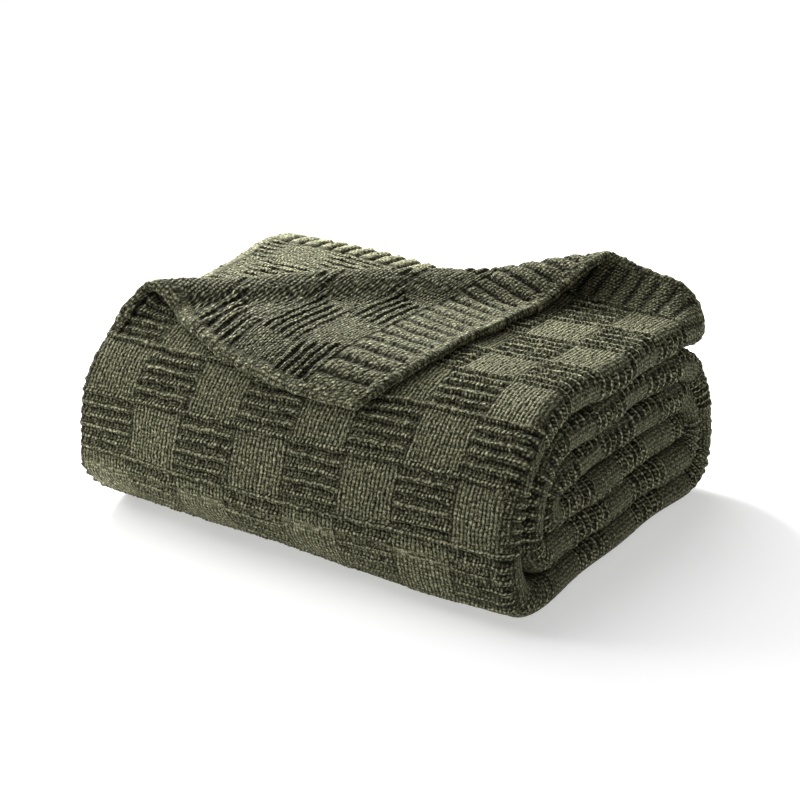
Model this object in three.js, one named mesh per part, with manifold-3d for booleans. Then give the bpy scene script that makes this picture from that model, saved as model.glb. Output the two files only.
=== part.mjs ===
// Knit throw, folded in four along its length and rolled flat, with one corner of
// the outer ply turned back. Millimetres, +Z up, X along the roll, front toward -Y.
import * as THREE from 'three';
import { mergeVertices } from 'three/addons/utils/BufferGeometryUtils.js';
import Module from 'manifold-3d';

// Driving dimensions: the throw laid flat, and how it is folded
const THROW_WIDTH = 1270;
const PLIES = 4;
const STRIP_WIDTH = THROW_WIDTH / PLIES;
const STRIP_THICK = 19.4;
const PLY = STRIP_THICK / PLIES;
const TURN_PITCH = 20.6;

// Basket pattern: square blocks, plain ones and ridged ones in turn
const BLOCKS_ACROSS = 8;
const BLOCK_U = STRIP_WIDTH / BLOCKS_ACROSS;
const BLOCK_V = 38.5;
const RIDGES = 5;
const RIDGE_STEP = BLOCK_V / RIDGES / 2;
const RIDGE_UP = 0.9;
const RIDGE_DOWN = 1.1;
const END_BORDER = 27;

// Cross-section of the roll: levels count strip thicknesses from the resting face
const FRONT_Y = 3;
const BACK_Y = 163;
const FRONT_REACH = 21.3;
const FRONT_FULLNESS = 2.4;
const FRONT_SLUMP = 20;
const BACK_SLUMP = -7;
const END_DROOP = THREE.MathUtils.degToRad(28);
const CORE_OVERRUN = 4;
const MID_HEIGHT = 3 * TURN_PITCH;
const CORNER_DRAW = 6;
const BACK_LIFT = 5;
const LEFT_DRAW = 8;
const FOOT_DRAW = 9;
const FOOT_SPREAD = 7;
const RIGHT_SWELL = 0.03;
const CORNER_SWELL = 0.125;

// Turned-back corner: its crown runs from the left selvedge to the end hem
const CREST_LEFT = { u: -STRIP_WIDTH / 2, v: 202 };
const CREST_RIGHT = { u: 88, v: 0 };
const FLAP_STRETCH = 1.04;
const FLAP_CLEAR = 2.2;
const SINK = 0.25;
const HEM_OVERRUN = 10;
const LOOSE_RIGHT = 155;
const FOLD_START = 128;
// Named columns, from the crown's left end (0) to its right end (1) and past it:
// height of the curl, reach of its lying side and of its flap side, and how far it
// opens into a funnel
const CURL = [
  { t: -0.2, height: 18, lift: 6, land: 20, open: 0 },
  { t: 0.0, height: 18, lift: 6, land: 20, open: 0 },
  { t: 0.25, height: 18, lift: 9, land: 26, open: 0 },
  { t: 0.5, height: 19, lift: 14, land: 32, open: 0 },
  { t: 0.75, height: 20, lift: 25, land: 40, open: 0.2 },
  { t: 1.0, height: 38, lift: 50, land: 52, open: 0.9 },
  { t: 1.15, height: 58, lift: 76, land: 62, open: 1 },
  { t: 1.3, height: 76, lift: 92, land: 68, open: 1 },
];

const clamp = THREE.MathUtils.clamp;
const lerp = THREE.MathUtils.lerp;
const smooth = THREE.MathUtils.smoothstep;

// Height of the middle of a strip that lies at a level
const levelHeight = (level) => STRIP_THICK / 2 + (level - 1) * TURN_PITCH;

// The soft roll spreads at its foot: shift in Y that grows with height
function slump(y, z) {
  const side = smooth(y, FRONT_Y, BACK_Y);
  return y + lerp(FRONT_SLUMP, BACK_SLUMP, side) * (z - MID_HEIGHT) / MID_HEIGHT;
}

// Middle line of the wound strip in Y and Z, from its free end to its core
function spinePoints() {
  const points = [];
  const push = (y, z) => points.push({ y: slump(y, z), z });
  const run = (level, from, to) => {
    const steps = Math.ceil(Math.abs(to - from) / 2);
    for (let i = 1; i < steps; i += 1) {
      push(lerp(from, to, i / steps), levelHeight(level));
    }
  };
  const backArc = (radius, from, to) => {
    const middle = levelHeight(3);
    const steps = Math.ceil(Math.abs(to - from) * radius / 2);
    for (let i = 0; i <= steps; i += 1) {
      const angle = lerp(from, to, i / steps);
      push(BACK_Y + radius * Math.sin(angle), middle + radius * Math.cos(angle));
    }
  };
  const frontArc = (radiusLevels) => {
    const middle = levelHeight(3.5);
    const rise = radiusLevels * TURN_PITCH;
    const reach = radiusLevels * FRONT_REACH;
    const power = 2 / lerp(2, FRONT_FULLNESS, clamp(radiusLevels - 0.5, 0, 1));
    const steps = Math.ceil(Math.PI * rise / 2);
    for (let i = 0; i <= steps; i += 1) {
      const angle = Math.PI * i / steps;
      const c = Math.cos(angle);
      const up = Math.sign(c) * Math.abs(c) ** power;
      push(FRONT_Y - reach * Math.sin(angle) ** power, middle + rise * up);
    }
  };
  backArc(3 * TURN_PITCH, END_DROOP, 0);
  run(6, BACK_Y, FRONT_Y);
  frontArc(2.5);
  run(1, FRONT_Y, BACK_Y);
  backArc(2 * TURN_PITCH, Math.PI, 0);
  run(5, BACK_Y, FRONT_Y);
  frontArc(1.5);
  run(2, FRONT_Y, BACK_Y);
  backArc(TURN_PITCH, Math.PI, 0);
  run(4, BACK_Y, FRONT_Y);
  frontArc(0.5);
  run(3, FRONT_Y, BACK_Y + CORE_OVERRUN);
  return points;
}

// Direction, outward normal, lengths along the middle and along the outer skin
function measureSpine(points) {
  const last = points.length - 1;
  points.forEach((p, i) => {
    const a = points[Math.max(i - 1, 0)];
    const b = points[Math.min(i + 1, last)];
    const span = Math.hypot(b.y - a.y, b.z - a.z);
    p.normalY = (b.z - a.z) / span;
    p.normalZ = (a.y - b.y) / span;
  });
  let mid = 0;
  let skin = 0;
  points.forEach((p, i) => {
    if (i > 0) {
      const q = points[i - 1];
      const half = STRIP_THICK / 2;
      const dy = p.y - q.y;
      const dz = p.z - q.z;
      mid += Math.hypot(dy, dz);
      skin += Math.hypot(dy + half * (p.normalY - q.normalY), dz + half * (p.normalZ - q.normalZ));
    }
    p.mid = mid;
    p.skin = skin;
  });
  points.forEach((p, i) => {
    const a = points[Math.max(i - 3, 0)];
    const b = points[Math.min(i + 3, last)];
    const turn = Math.asin(clamp(a.normalY * b.normalZ - a.normalZ * b.normalY, -1, 1));
    p.radius = (b.mid - a.mid) / Math.max(Math.abs(turn), 1e-6);
  });
  return points;
}

const spine = measureSpine(spinePoints());
const SPINE_END = spine[spine.length - 1];

// Interpolated spine at a length measured in the given column, mid or skin
function spineAt(length, column) {
  let low = 0;
  let high = spine.length - 1;
  while (high - low > 1) {
    const half = (low + high) >> 1;
    if (spine[half][column] <= length) low = half;
    else high = half;
  }
  const a = spine[low];
  const b = spine[high];
  const f = (length - a[column]) / (b[column] - a[column]);
  const mix = (key) => lerp(a[key], b[key], f);
  const size = Math.hypot(mix('normalY'), mix('normalZ'));
  return {
    y: mix('y'),
    z: mix('z'),
    mid: mix('mid'),
    skin: mix('skin'),
    radius: Math.min(a.radius, b.radius),
    normalY: mix('normalY') / size,
    normalZ: mix('normalZ') / size,
  };
}

// Fold bulges make the right end fuller; loose edges make the back left corner stand
function swell(u, y) {
  const right = RIGHT_SWELL * smooth(u, -40, 160);
  const corner = CORNER_SWELL * smooth(-u, -90, 130) * smooth(y, -60, 160);
  return 1 + right + corner;
}

// Point at u across the strip, at a spine place, n outward from the strip's middle
function place(u, at, n) {
  const inward = Math.max(n, -0.86 * at.radius);
  const y = at.y + at.normalY * inward;
  const z = at.z + at.normalZ * inward;
  const end = smooth(y, 110, 192) * smooth(z, 85, 105);
  const back = CORNER_DRAW * smooth(-u, -60, 160) * end;
  const up = BACK_LIFT * smooth(-u, -40, 20) * end;
  const left = LEFT_DRAW * smooth(-u, 50, 160) * smooth(-y, 0, 50) * smooth(-z, -95, -45);
  const tuck = lerp(FOOT_DRAW, -FOOT_SPREAD, smooth(u, -60, 120));
  const foot = tuck * smooth(-y, 0, 40) * smooth(-z, -34, -6);
  return new THREE.Vector3(u, y - back + left + foot, z * swell(u, y) + up);
}

// Height of the basket pattern above the cloth's mean surface
function relief(u, v) {
  const column = Math.floor((u + STRIP_WIDTH / 2) / BLOCK_U);
  const row = Math.floor((v - END_BORDER) / BLOCK_V + 1e-6);
  if (v < END_BORDER - 1e-6 || (column + row) % 2 !== 0) return 0;
  const step = Math.round((v - END_BORDER) / RIDGE_STEP);
  return step % 2 === 0 ? -RIDGE_DOWN : RIDGE_UP;
}

// Place beside the crown: t along it, w toward the lying side
const crest = new THREE.Vector2(CREST_RIGHT.u - CREST_LEFT.u, CREST_LEFT.v - CREST_RIGHT.v);
const CREST_LENGTH = crest.length();
crest.normalize();
function crestFrame(u, v) {
  const along = u - CREST_LEFT.u;
  const toHem = CREST_LEFT.v - v;
  return {
    t: (along * crest.x + toHem * crest.y) / CREST_LENGTH,
    w: along * crest.y - toHem * crest.x,
  };
}
function fromCrest(t, w) {
  const length = t * CREST_LENGTH;
  return {
    u: CREST_LEFT.u + length * crest.x + w * crest.y,
    v: CREST_LEFT.v - length * crest.y + w * crest.x,
  };
}

// Curl sizes at a place along the crest
function curlAt(t) {
  const place = clamp(t, CURL[0].t, CURL[CURL.length - 1].t);
  const next = Math.max(1, CURL.findIndex((row) => row.t >= place));
  const a = CURL[next - 1];
  const b = CURL[next];
  const f = (place - a.t) / (b.t - a.t);
  return {
    height: lerp(a.height, b.height, f),
    lift: lerp(a.lift, b.lift, f),
    land: lerp(a.land, b.land, f),
    open: lerp(a.open, b.open, f),
  };
}

// Section across the curl: lying side, rise, crown and fall to the flap side
const curlSections = new Map();
function curlSection(t) {
  const key = t.toFixed(4);
  if (curlSections.has(key)) return curlSections.get(key);
  const { height, lift, land, open } = curlAt(t);
  const rest = PLY + FLAP_CLEAR;
  const top = height - PLY / 2;
  const side = 0.5 * top;
  const crown = 0.34 * top * (1 - open);
  const V = (x, y) => new THREE.Vector2(x, y);
  const curves = [
    new THREE.CubicBezierCurve(
      V(lift, 0),
      V(0.4 * lift - 0.6 * crown + 0.3 * lift * open, 0),
      V(0.3 * lift * open - crown, side - lerp(0.3, 0.1, open) * top),
      V(0.14 * lift * open - crown, lerp(side, 0.78 * top, open)),
    ),
    new THREE.CubicBezierCurve(
      V(0.14 * lift * open - crown, lerp(side, 0.78 * top, open)),
      V(0.07 * lift * open - crown, top * lerp(0.86, 0.9, open)),
      V(0.03 * lift * open - 0.6 * crown, top),
      V(0, top),
    ),
    new THREE.CubicBezierCurve(V(0, top), V(0.4 * land, top), V(0.62 * land, rest), V(land, rest)),
  ];
  const points = [];
  curves.forEach((curve, i) => {
    const list = curve.getPoints(40);
    points.push(...(i === 0 ? list : list.slice(1)));
  });
  const lengths = [0];
  for (let i = 1; i < points.length; i += 1) {
    lengths.push(lengths[i - 1] + points[i].distanceTo(points[i - 1]));
  }
  const section = { lift, land, rest, points, lengths, total: lengths[lengths.length - 1] };
  curlSections.set(key, section);
  return section;
}

// Where a point of the flat ply goes once the corner is turned: place and height
function turnBack(t, w) {
  const section = curlSection(t);
  const travel = section.lift - w;
  if (travel <= 0) return { w, h: 0 };
  if (travel >= section.total) {
    return { w: section.land + FLAP_STRETCH * (travel - section.total), h: section.rest };
  }
  let i = 1;
  while (section.lengths[i] < travel) i += 1;
  const f = (travel - section.lengths[i - 1]) / (section.lengths[i] - section.lengths[i - 1]);
  const p = section.points[i - 1].clone().lerp(section.points[i], f);
  return { w: p.x, h: p.y };
}

// Middle surface of the loose ply in space, from its place in the flat cloth
function flapPoint(t, w) {
  const turned = turnBack(t, w);
  const lands = fromCrest(t, turned.w);
  const sunk = SINK + 2 * smooth(w, curlAt(t).lift, curlAt(t).lift + 12);
  const at = spineAt(lands.v, 'skin');
  const overFold = smooth(lands.u, FOLD_START, LOOSE_RIGHT + 2);
  const base = STRIP_THICK / 2 - PLY / 2 - sunk - 6 * overFold;
  const rise = turned.h * (1 - overFold * overFold);
  const upright = 1 - smooth(lands.v, 0, 70);
  const lying = place(lands.u, at, base);
  const leaning = place(lands.u, at, base + rise);
  const standing = lying.clone().setZ(lying.z + rise);
  return leaning.lerp(standing, upright);
}

// Top of the strip: the outer ply is missing where it is turned back, and its
// ridges are left out where it is covered
function topOf(u, v) {
  const { t, w } = crestFrame(u, v);
  const { lift, land, total } = curlSection(t);
  const present = smooth(w, lift - 1, lift + 5);
  const cloth = fromCrest(t, lift - total - (w - land) / FLAP_STRETCH);
  const covered = cloth.u > -STRIP_WIDTH / 2 - 8 && cloth.v > -HEM_OVERRUN - 8;
  return {
    n: lerp(STRIP_THICK / 2 - PLY, STRIP_THICK / 2, present),
    ridged: covered ? 0 : smooth(w, lift + 14, lift + 24),
  };
}

// Small wander of the folded ends, so that no two turns line up
const wander = (mid) => 1.6 * Math.sin(mid / 41) + 1.1 * Math.sin(mid / 17 + 1);

// One closed ring of the strip: face, right fold, back face and the left ply ends
function ring(at, faceColumns, turned) {
  const half = STRIP_THICK / 2;
  const left = -STRIP_WIDTH / 2 + 0.6 * wander(at.mid + 200);
  const right = STRIP_WIDTH / 2 + wander(at.mid) + lerp(2.5, -1.5, smooth(at.z, 10, 70));
  const foot = smooth(at.z + half * at.normalZ, 2, 12);
  const points = [];
  const outline = [];
  const put = (u, n) => {
    points.push(place(u, at, n));
    outline.push(new THREE.Vector2(u, n - 1e-5 * u * u));
  };
  faceColumns.forEach((u) => {
    const edge = u < faceColumns[1] ? left + 1.5 : u;
    const top = turned ? topOf(edge, at.skin) : { n: half, ridged: 1 };
    const raised = faceColumns.length > 6 ? relief(u, at.skin) * foot * top.ridged : 0;
    put(edge, top.n + raised);
  });
  const bulge = faceColumns.length > 6 ? relief(STRIP_WIDTH / 2 + 1, at.skin) * foot : 0;
  [58, 0, -58].forEach((degrees) => {
    const angle = THREE.MathUtils.degToRad(degrees);
    const reach = half + bulge;
    put(right - half + reach * Math.cos(angle), reach * Math.sin(angle));
  });
  put(right - half, -half);
  put(left + 4, -half);
  const upper = turned ? topOf(left, at.skin).n : half;
  const low = Math.min(PLY * 0.98, upper - 0.8);
  const edges = [
    { inset: 0.9, n: -0.4 * STRIP_THICK },
    { inset: 0, n: -0.26 * STRIP_THICK },
    { inset: 0.9, n: -0.1 * STRIP_THICK },
    { inset: 9, n: 0 },
    { inset: 0, n: PLY / 2 },
    { inset: 0.4 + 7 * smooth(upper, PLY, 2 * PLY), n: low },
    { inset: 0, n: (low + upper) / 2 },
  ];
  edges.forEach(({ inset, n }) => put(left + inset, n));
  return { points, outline };
}

// Columns of the face: two near each block's edges, so that ridges stop at the block
const blockInset = 4;
const fineColumns = [];
for (let i = 0; i < BLOCKS_ACROSS; i += 1) {
  const start = -STRIP_WIDTH / 2 + i * BLOCK_U;
  fineColumns.push(start + (i === 0 ? 0.5 : blockInset));
  fineColumns.push(Math.min(start + BLOCK_U - blockInset, STRIP_WIDTH / 2 - STRIP_THICK / 2));
}
const coarseColumns = [fineColumns[0], 0, fineColumns[fineColumns.length - 1]];

// Places of the rings: at every ridge and groove where the face shows, wide elsewhere
function ringPlaces() {
  const footStart = spine.find((p) => p.z < levelHeight(1) + 0.01 && p.y > FRONT_Y - FRONT_SLUMP);
  const footEnd = spine.find((p) => p.mid > footStart.mid && p.z > levelHeight(1) + 0.6);
  const hidden = spine.find((p) => p.mid > footEnd.mid && p.z > levelHeight(5) - 1.5);
  const places = [];
  const firstStep = Math.ceil(-END_BORDER / RIDGE_STEP + 0.4);
  places.push({ at: spineAt(0, 'skin'), columns: fineColumns, turned: true });
  const fine = (from, to, turned) => {
    for (let k = firstStep; ; k += 1) {
      const v = END_BORDER + k * RIDGE_STEP;
      if (v > to) break;
      if (v > from) places.push({ at: spineAt(v, 'skin'), columns: fineColumns, turned });
    }
  };
  const coarse = (from, to, columns, flatStep, turnStep) => {
    let mid = from;
    while (mid < to) {
      const at = spineAt(mid, 'mid');
      places.push({ at, columns, turned: false });
      mid += at.radius < 80 ? Math.min(turnStep, at.radius * 0.42) : flatStep;
    }
  };
  fine(1, footStart.skin, true);
  coarse(footStart.mid + 2, footEnd.mid - 2, fineColumns, 34, 20);
  fine(footEnd.skin, hidden.skin, false);
  coarse(hidden.mid + 6, SPINE_END.mid - 4, coarseColumns, 30, 12);
  places.push({ at: spineAt(SPINE_END.mid - 0.5, 'mid'), columns: coarseColumns, turned: false });
  return places;
}

// Closed mesh from a list of points and triangle corners
function meshGeometry(points, corners) {
  const geometry = new THREE.BufferGeometry();
  const flat = new Float32Array(points.length * 3);
  points.forEach((p, i) => p.toArray(flat, i * 3));
  geometry.setAttribute('position', new THREE.BufferAttribute(flat, 3));
  geometry.setIndex(corners);
  return mergeVertices(geometry, 1e-3);
}

// Join two rings of any number of points, walking round both together
function joinRings(a, b, points, corners) {
  const share = (list) => {
    const sums = [0];
    for (let i = 1; i <= list.length; i += 1) {
      const p = points[list[i % list.length]];
      sums.push(sums[i - 1] + p.distanceTo(points[list[i - 1]]));
    }
    return sums.map((s) => s / sums[list.length]);
  };
  if (a.length === b.length) {
    a.forEach((_, i) => {
      const next = (i + 1) % a.length;
      corners.push(a[i], b[i], b[next], a[i], b[next], a[next]);
    });
    return;
  }
  const shareA = share(a);
  const shareB = share(b);
  let i = 0;
  let j = 0;
  while (i < a.length || j < b.length) {
    const stepA = j >= b.length || (i < a.length && shareA[i + 1] <= shareB[j + 1]);
    if (stepA) {
      corners.push(a[i % a.length], b[j % b.length], a[(i + 1) % a.length]);
      i += 1;
    } else {
      corners.push(a[i % a.length], b[j % b.length], b[(j + 1) % b.length]);
      j += 1;
    }
  }
}

// The wound strip as one closed mesh
function woundStrip() {
  const points = [];
  const corners = [];
  const rings = ringPlaces().map(({ at, columns, turned }) => {
    const start = points.length;
    const made = ring(at, columns, turned);
    points.push(...made.points);
    return { list: made.points.map((_, i) => start + i), outline: made.outline };
  });
  for (let i = 1; i < rings.length; i += 1) {
    joinRings(rings[i - 1].list, rings[i].list, points, corners);
  }
  capRing(rings[0], corners, false);
  capRing(rings[rings.length - 1], corners, true);
  return meshGeometry(points, corners);
}

// Close an end of the strip by its outline in strip coordinates, which is bowed a
// little so that no three of its points are in a line
function capRing({ list, outline }, corners, atCore) {
  THREE.ShapeUtils.triangulateShape(outline, []).forEach(([a, b, c]) => {
    if (atCore) corners.push(list[a], list[b], list[c]);
    else corners.push(list[a], list[c], list[b]);
  });
}

// Loose corner of the outer ply: rows from the lying side over the curl to the tip
function looseCorner() {
  const span = 17;
  const corner = crestFrame(-STRIP_WIDTH / 2, -HEM_OVERRUN);
  const rows = [];
  const widths = [94, 86, 78, 70, 62, 56, 50, 44, 38, 32, 26, 20, 14, 8, 3, -1, -5, -9, -13, -17, -22, -28, -35, -43];
  for (let w = -55; w > corner.w + 14; w -= 16) widths.push(w);
  widths.push(corner.w + 8, corner.w + 2);
  widths.forEach((w) => {
    const row = [];
    const low = lerp(edgeOnSelvedge(w), 0.8, smooth(w, 44, 62));
    const high = Math.min(edgeOnHem(w), edgeOnRight(w));
    for (let j = 0; j <= span; j += 1) row.push({ t: lerp(low, high, j / span), w });
    rows.push(row);
  });
  return thickSheet(rows, span);
}

// Ends of a line beside the crown: left selvedge, end hem and the right fold
function edgeOnSelvedge(w) {
  return -w * crest.y / crest.x / CREST_LENGTH + 1 / CREST_LENGTH;
}
function edgeOnHem(w) {
  return (CREST_LEFT.v + HEM_OVERRUN + w * crest.x) / crest.y / CREST_LENGTH;
}
function edgeOnRight(w) {
  return (LOOSE_RIGHT - CREST_LEFT.u - w * crest.y) / crest.x / CREST_LENGTH;
}

// Give a grid of sheet places the ply's thickness and close it at the rim
function thickSheet(rows, span) {
  const points = [];
  const corners = [];
  const e = 0.6;
  const offset = (t, w, n) => {
    const middle = flapPoint(t, w);
    const alongT = flapPoint(t + e / CREST_LENGTH, w).sub(flapPoint(t - e / CREST_LENGTH, w));
    const alongW = flapPoint(t, w + e).sub(flapPoint(t, w - e));
    return middle.add(alongW.cross(alongT).setLength(n));
  };
  const half = PLY / 2;
  rows.forEach((row) => row.forEach(({ t, w }) => points.push(offset(t, w, half))));
  rows.forEach((row) => row.forEach(({ t, w }) => points.push(offset(t, w, -half))));
  const columns = span + 1;
  const below = rows.length * columns;
  const quad = (a, b, c, d) => corners.push(a, b, c, a, c, d);
  for (let i = 0; i + 1 < rows.length; i += 1) {
    for (let j = 0; j < span; j += 1) {
      const a = i * columns + j;
      quad(a, a + 1, a + columns + 1, a + columns);
      quad(below + a, below + a + columns, below + a + columns + 1, below + a + 1);
    }
    const left = i * columns;
    const right = left + span;
    quad(left, left + columns, below + left + columns, below + left);
    quad(right + columns, right, below + right, below + right + columns);
  }
  const lastRow = (rows.length - 1) * columns;
  for (let j = 0; j < span; j += 1) {
    quad(j + 1, j, below + j, below + j + 1);
    const a = lastRow + j;
    quad(a, a + 1, below + a + 1, below + a);
  }
  return meshGeometry(points, corners);
}

const wasm = await Module();
wasm.setup();

// Closed solid from a merged mesh
function toSolid(geometry) {
  const vertProperties = new Float32Array(geometry.attributes.position.array);
  const triVerts = new Uint32Array(geometry.index.array);
  return new wasm.Manifold(new wasm.Mesh({ numProp: 3, vertProperties, triVerts }));
}

// Mesh geometry from a solid
function toGeometry(solid) {
  const mesh = solid.getMesh();
  const geometry = new THREE.BufferGeometry();
  geometry.setAttribute('position', new THREE.BufferAttribute(mesh.vertProperties, 3));
  geometry.setIndex(new THREE.BufferAttribute(mesh.triVerts, 1));
  return geometry;
}

const strip = toSolid(woundStrip());
const flap = toSolid(looseCorner());
const geometry = toGeometry(strip.add(flap));
geometry.computeBoundingBox();
const box = geometry.boundingBox;
geometry.translate(-(box.min.x + box.max.x) / 2, -(box.min.y + box.max.y) / 2, -box.min.z);

const chenille = new THREE.MeshStandardMaterial({ color: 0x5b5e45, roughness: 0.95, metalness: 0 });
const throwMesh = new THREE.Mesh(geometry, chenille);
throwMesh.name = 'knit_throw';

const group = new THREE.Group();
group.add(throwMesh);

export default group;
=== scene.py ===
import math
import bpy
import numpy as np
from mathutils import Matrix


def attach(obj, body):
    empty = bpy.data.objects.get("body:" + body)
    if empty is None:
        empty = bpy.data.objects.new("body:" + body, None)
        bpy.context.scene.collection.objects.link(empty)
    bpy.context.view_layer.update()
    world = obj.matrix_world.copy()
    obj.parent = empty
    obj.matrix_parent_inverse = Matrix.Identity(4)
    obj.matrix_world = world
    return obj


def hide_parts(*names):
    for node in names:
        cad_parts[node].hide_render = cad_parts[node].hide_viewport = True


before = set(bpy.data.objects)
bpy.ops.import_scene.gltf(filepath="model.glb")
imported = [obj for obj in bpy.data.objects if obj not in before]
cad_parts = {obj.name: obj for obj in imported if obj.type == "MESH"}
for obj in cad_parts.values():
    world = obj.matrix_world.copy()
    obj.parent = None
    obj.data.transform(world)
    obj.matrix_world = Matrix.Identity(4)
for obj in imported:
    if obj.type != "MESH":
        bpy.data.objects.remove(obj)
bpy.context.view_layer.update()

# Sizes, in millimetres. The throw laid flat is 1270 by 1520, and it is folded in four along
# its length.
STRIP_WIDTH = 1270 / 4
STRIP_THICK = 19.4
HALF = STRIP_THICK / 2
PLY = STRIP_THICK / 4
PLY_MIDDLE = HALF - PLY / 2
TURN_PITCH = 20.6
MM = 0.001

# Knit: fifteen wales and fifteen courses to a block, five ridges to a ridged block
BLOCK_X = STRIP_WIDTH / 8
BLOCK_V = 38.5
WALE = BLOCK_X / 15
COURSE = BLOCK_V / 15
RIDGE = BLOCK_V / 5
BORDER = 27
RIB = 11.6
RIB_START = 3.1
HEM_OVERRUN = 10
HEM_ROLL = 2.7
HEM_WIDTH = 5
SELVEDGE_WIDTH = 6
SELVEDGE_ENDS = (212, 232)

# Uneven tension of the knit, and the lumps of its pile: layers of noise, each with its shift
# or height, the size of its patches and its seed
DRIFT_ACROSS = [(0.8, 31, 1), (0.5, 9, 2), (0.3, 3.1, 12)]
DRIFT_ALONG = [(0.8, 37, 3), (0.6, 8, 4), (0.3, 2.9, 13)]
PILE_LUMPS = [(0.36, 2.1, 5), (0.3, 1.3, 6)]

# Mean heights of the two kinds of stitches, as a share of a stitch
PLAIN_MEAN = 0.7
PURL_MEAN = 0.6

# Right side: half widths of a ridge's top and foot, what the foot gains on a fold, the same
# of the ridge along a row of blocks, and heights from the middle of the knit
RIDGE_TOP = 0.9
RIDGE_FOOT = 2.9
FOLD_GAIN = 0.8
ROW_TOP = 0.7
ROW_FOOT = 2.3
RIDGE_HEIGHT = 1.25
PLAIN_HEIGHT = 0.2
VALLEY_HEIGHT = -0.35
GROOVE_DEPTH = 0.7
ARCH_GROOVE_DEPTH = 1.3

# Distance of the grooves from the middle of the ridge: below it, above it, and beside the
# one along a row of blocks
GROOVE_BELOW = 3
GROOVE_ABOVE = 2.9
ROW_GROOVE = 2.5

# Lengths between which the groove inside the arch, with painted shade in it, comes up and
# dies down
ARCH_LINE_STARTS = (140, 165)
ARCH_LINE_ENDS = (205, 228)

# Wrong side: reach of the groove between two welts, and the heights there
WELT_GROOVE = 1.6
WELT_HEIGHT = 0.7
HOLE_HEIGHT = -0.8
PURL_HEIGHT = 0.1
RIB_GROOVE = 1.7

# How deep the border's ribs are on each face, as a share of a full rib
FACE_RIBS = 0.5
CORNER_RIBS = 0.7
SECOND_RIBS = 1.2

# Shades of the parts of the knit, from 0 deep in a groove to 1 on the tip of the pile: the
# dark of a groove is painted shade and the pale of a crest painted light
RIDGE_SHADE = 0.56
KNIT_SHADE = 0.46
WELT_SHADE = 0.5
PURL_SHADE = 0.43
HOLE_SHADE = 0.18
RIB_SHADE = 0.45
ROLLED_SHADE = 0.5
# painted light on the second ply, standing for the light that falls on it from behind
SECOND_PAINTED_LIGHT = 0.12

# How far the borders and the rolled hems look like purl stitches, from 0 to 1
RIB_PURL = 0.7
ROLLED_PURL = 0.6

# Section of the roll, as in the part's source
FRONT_Y = 3
BACK_Y = 163
FRONT_REACH = 21.3
FRONT_FULLNESS = 2.4
FRONT_SLUMP = 20
BACK_SLUMP = -7
END_RADIUS = 133
END_DROOP = math.radians(14)
CORE_OVERRUN = 4
MID_HEIGHT = 3 * TURN_PITCH
CENTRE_X = -1.948
CENTRE_Y = -75.614

# The form isn't quite even: how near the middle of a bend the inner skin comes, how much the
# two ends swell upward, how far the back, the front's left end and the foot are drawn in or
# let out, and how far the right folds stand out low down and in higher up
BEND_LIMIT = 0.86
RIGHT_SWELL = 0.03
LEFT_SWELL = 0.125
BACK_IN = 6
LEFT_IN = 8
FOOT_IN = 9
FOOT_OUT = 7
FOLD_OUT = 2.5
FOLD_IN = 1.5

# The turned corner: its crown runs from the left selvedge to the end hem
CREST_LEFT_X = -STRIP_WIDTH / 2
CREST_LEFT_V = 202
CREST_RIGHT_X = 88
FLAP_STRETCH = 1.04
FLAP_REST = PLY + 2.2
CURL_T = [-0.2, 0.0, 0.25, 0.5, 0.75, 1.0, 1.15, 1.3]
CURL_HEIGHT = [15, 15, 16, 18.5, 19.5, 35.5, 54, 72]
CURL_LIFT = [6, 6, 9, 14, 25, 50, 76, 92]
CURL_LAND = [20, 20, 26, 32, 40, 52, 62, 68]
CURL_OPEN = [0, 0, 0, 0, 0.2, 0.9, 1, 1]
CURL_ROWS = 301
CURL_COLUMNS = 241
CURVE_POINTS = 81

# The turned corner is pulled out of square: how far its selvedge and its hem bulge
SIDE_V = [-10, 10, 30, 50, 80, 100, 120, 140, 155]
SIDE_BULGE = [1, 4.5, 6.5, 8, 8.5, 8, 5.5, 2, 0]
HEM_X = [-158.75, -146, -134, -122, -110, -98, -86, -74, -60, -38, -26, -14, 5, 46]
HEM_BULGE = [-1.5, 5.5, 10, 12.5, 13, 12.5, 9.5, 6.5, 4.5, 4, 2, 0, -2, 0]
BULGE_REACH = 90
TURNED_REACH = 35

# Places across the cloth between which the turned corner gives way to the right fold, its
# hem draws level and its rise dies down
FOLD_HOLDS = (135, 158)
HEM_LEVELS = (130, 175)
RISE_ENDS = (128, 160)

# The arch of the selvedge at the left end of the crest, by the distance from the hem: how
# far it leans in, lies back and stands up
ARCH_V = [124, 132, 145, 155, 162, 170, 177, 184, 190, 195, 201, 208, 217]
ARCH_IN = [0, 0, 1, 2.4, 3, 4, 3.6, 4, 3, 2, 1, 1, 0]
ARCH_BACK = [0, -2, 0, 5.5, 6, 8, 8.5, 6, 3, -0.5, -2.5, -1.5, 0]
ARCH_UP = [0, 0.5, 0.4, 2, 4, 5.3, 5.8, 6, 5, 4.5, 4, 2.8, 0]
ARCH_REACH = 30

# Where the knit of the turned corner is pulled askew: along the cloth by the distance from
# its hem, and across it by the distance from the crest
PULL_V = [0, 32, 60, 95, 137, 200]
PULL_ALONG = [-8, -5, 4, 9, 5, 0]
PULL_W = [-130, -106, -90, -52, -41, -30, 0]
PULL_ACROSS = [2, 4, 14, 11, 6, -3, -3]

# The second ply: it starts a little past the free end, its edge lies in from the fold
# under it, and its blocks lie elsewhere
SECOND_START = 3
SECOND_INSET = 5
SECOND_ACROSS = 20
SECOND_ALONG = -9

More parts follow.
